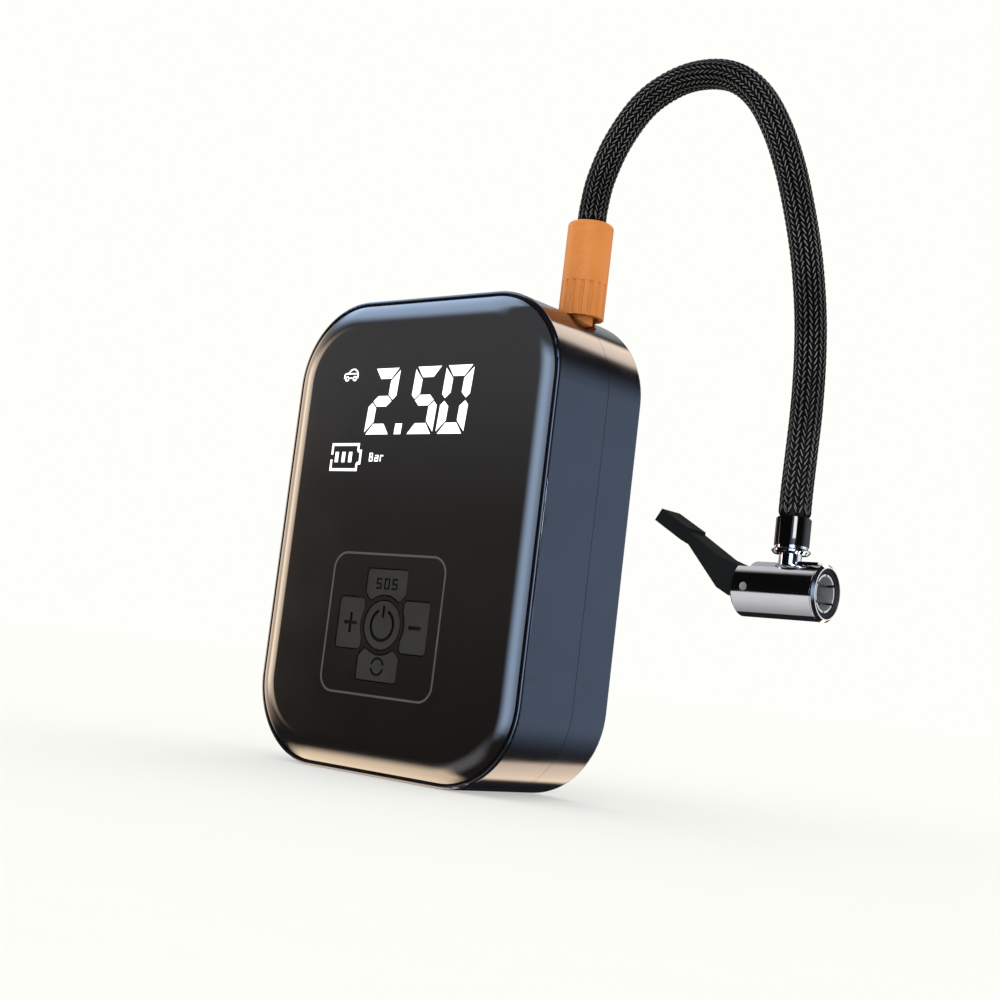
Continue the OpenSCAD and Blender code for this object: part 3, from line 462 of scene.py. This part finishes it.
def box_level(t, way, bearing, height, half_w, half_h, soft_w, soft_h, strength):
    """Brightness of one soft box in a direction, fading over its soft edges."""
    turned = t.new("ShaderNodeVectorRotate", rotation_type="Z_AXIS",
                   inputs={"Vector": way, "Angle": -math.radians(bearing)})
    x, y, z = t.split(turned)
    side = t.math("ABSOLUTE", t.math("ARCTAN2", y, x))
    lift = t.math("ABSOLUTE", t.math("SUBTRACT", t.math("ARCSINE", z),
                                     math.radians(height)))
    a = t.step(side, math.radians(half_w), math.radians(half_w + soft_w), 1.0, 0.0)
    b = t.step(lift, math.radians(half_h), math.radians(half_h + soft_h), strength, 0.0)
    return t.math("MULTIPLY", a, b)


def world():
    """Backdrop for the camera, even light for surfaces, soft boxes for reflections."""
    w = bpy.data.worlds.new("studio")
    bpy.context.scene.world = w
    w.use_nodes = True
    w.cycles.sampling_method = "NONE"
    t = Nodes(w.node_tree)
    way = t.new("ShaderNodeTexCoord", "Generated")
    total = GLOOM
    for *shape, colour, strength in BOXES:
        level = box_level(t, way, *shape, strength)
        part = t.new("ShaderNodeVectorMath", inputs={0: colour, "Scale": level},
                     operation="SCALE")
        total = t.new("ShaderNodeVectorMath", inputs={0: total, 1: part}, operation="ADD")
    path = t.tree.nodes.new("ShaderNodeLightPath")
    seen = t.new("ShaderNodeBackground", inputs={0: BACKDROP, 1: 1.0})
    soft = t.new("ShaderNodeBackground", inputs={0: (1, 1, 1, 1), 1: SOFT_LIGHT})
    boxes = t.new("ShaderNodeBackground", inputs={0: total, 1: 1.0})
    mixed = t.new("ShaderNodeMixShader", inputs={
        0: path.outputs["Is Glossy Ray"], 1: soft, 2: boxes})
    mixed = t.new("ShaderNodeMixShader", inputs={
        0: path.outputs["Is Camera Ray"], 1: mixed, 2: seen})
    t.new("ShaderNodeOutputWorld", inputs={"Surface": mixed})


world()


def card_object(name, verts, faces, paint):
    """Glowing card that only reflections see."""
    data = bpy.data.meshes.new(name)
    data.from_pydata(verts, [], faces)
    card = bpy.data.objects.new(name, data)
    bpy.context.collection.objects.link(card)
    m = bpy.data.materials.new(name)
    m.use_nodes = True
    t = Nodes(m.node_tree)
    glow = t.new("ShaderNodeEmission", inputs={0: (1, 1, 1, 1), 1: paint(t)})
    t.new("ShaderNodeOutputMaterial", inputs={"Surface": glow})
    data.materials.append(m)
    card.visible_camera = False
    card.visible_diffuse = False
    card.visible_shadow = False
    card.visible_transmission = False


low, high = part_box("chuck_body")
CHUCK = Vector([(a + b) / 2 for a, b in zip(low, high)])


def chuck_card():
    """Curved reflector round the front of the chuck: pale above and below, dark between."""
    radius, x0, x1 = 28 * MM, 66 * MM, 113 * MM
    lowest, highest, rows = -102, 96, 80
    verts, faces = [], []
    for i in range(rows + 1):
        a = math.radians(lowest + (highest - lowest) * i / rows)
        y = CHUCK.y - radius * math.cos(a)
        z = CHUCK.z + radius * math.sin(a)
        verts += [(x0, y, z), (x1, y, z)]
    for i in range(rows):
        faces.append((2 * i, 2 * i + 1, 2 * i + 3, 2 * i + 2))

    def paint(t):
        # the angle up from straight out of the chuck's front side
        _, y, z = t.split(t.place())
        angle = t.math("ARCTAN2", t.math("SUBTRACT", z, CHUCK.z),
                       t.math("SUBTRACT", CHUCK.y, y))
        above = t.step(angle, math.radians(56), math.radians(77), 0.0, 0.68)
        below = t.step(angle, math.radians(-18), math.radians(-15), 0.78, 0.0)
        fade = t.step(angle, math.radians(-110), math.radians(-20), 0.45, 1.0)
        level = t.math("ADD", above, t.math("MULTIPLY", below, fade))
        return t.math("ADD", level, 0.004)

    card_object("chuck_card", verts, faces, paint)


def square_card(name, middle, across, width, height, strength):
    """Upright card through a point, its width along a level direction."""
    a = across.normalized() * width / 2
    b = Vector((0, 0, height / 2))
    verts = [middle - a - b, middle + a - b, middle + a + b, middle - a + b]
    card_object(name, [tuple(v) for v in verts], [(0, 1, 2, 3)], lambda t: strength)


chuck_card()
# a white card past the mouth of the chuck
square_card("mouth_card", Vector((151, 46, 64)) * MM, Vector((1, -1, 0)),
            45 * MM, 40 * MM, 1.1)
# two narrow bright cards before the hose's lower end, for the ferrule and the neck
END_CARDS_AT = Vector((119.2, -10.8, 0)) * MM
END_CARDS_ACROSS = Vector((0.76, 0.65, 0))
for card_name, middle_z, width, height, strength in (
        ("ferrule_card", 80.2 * MM, 7 * MM, 16.4 * MM, 30.0),
        ("neck_card", 68.5 * MM, 4 * MM, 7 * MM, 5.0)):
    square_card(card_name, END_CARDS_AT + Vector((0, 0, middle_z)), END_CARDS_ACROSS,
                width, height, strength)
